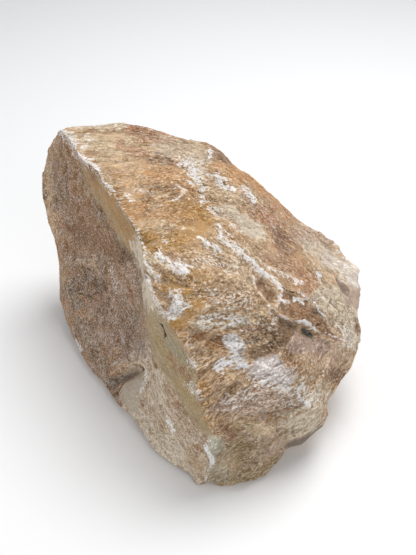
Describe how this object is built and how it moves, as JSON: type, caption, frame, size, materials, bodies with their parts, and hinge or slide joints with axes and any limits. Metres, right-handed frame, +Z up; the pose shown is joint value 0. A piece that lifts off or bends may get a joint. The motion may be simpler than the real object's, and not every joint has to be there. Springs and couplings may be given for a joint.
{
  "type": "honeycomb calcite boulder",
  "caption": "Rough broken block of honeycomb calcite with a steep side, a sharp banded ridge and a flat underside to rest on.",
  "frame": {"origin": "under the middle of the stone's box, on the level that it rests on", "axes": "+Z up from the flat underside; +X to the right, along the longest side of its box, with the steep side facing -X and -Y; +Y to the back"},
  "size_m": [0.3892, 0.3742, 0.2689],
  "materials": {
    "calcite": "rough broken calcite, tan to ochre with chalky white bruises, a pinkish grey granular side and an amber band under the ridge"
  },
  "bodies": {
    "root": {"calcite_boulder": "calcite"}
  },
  "joints": []
}
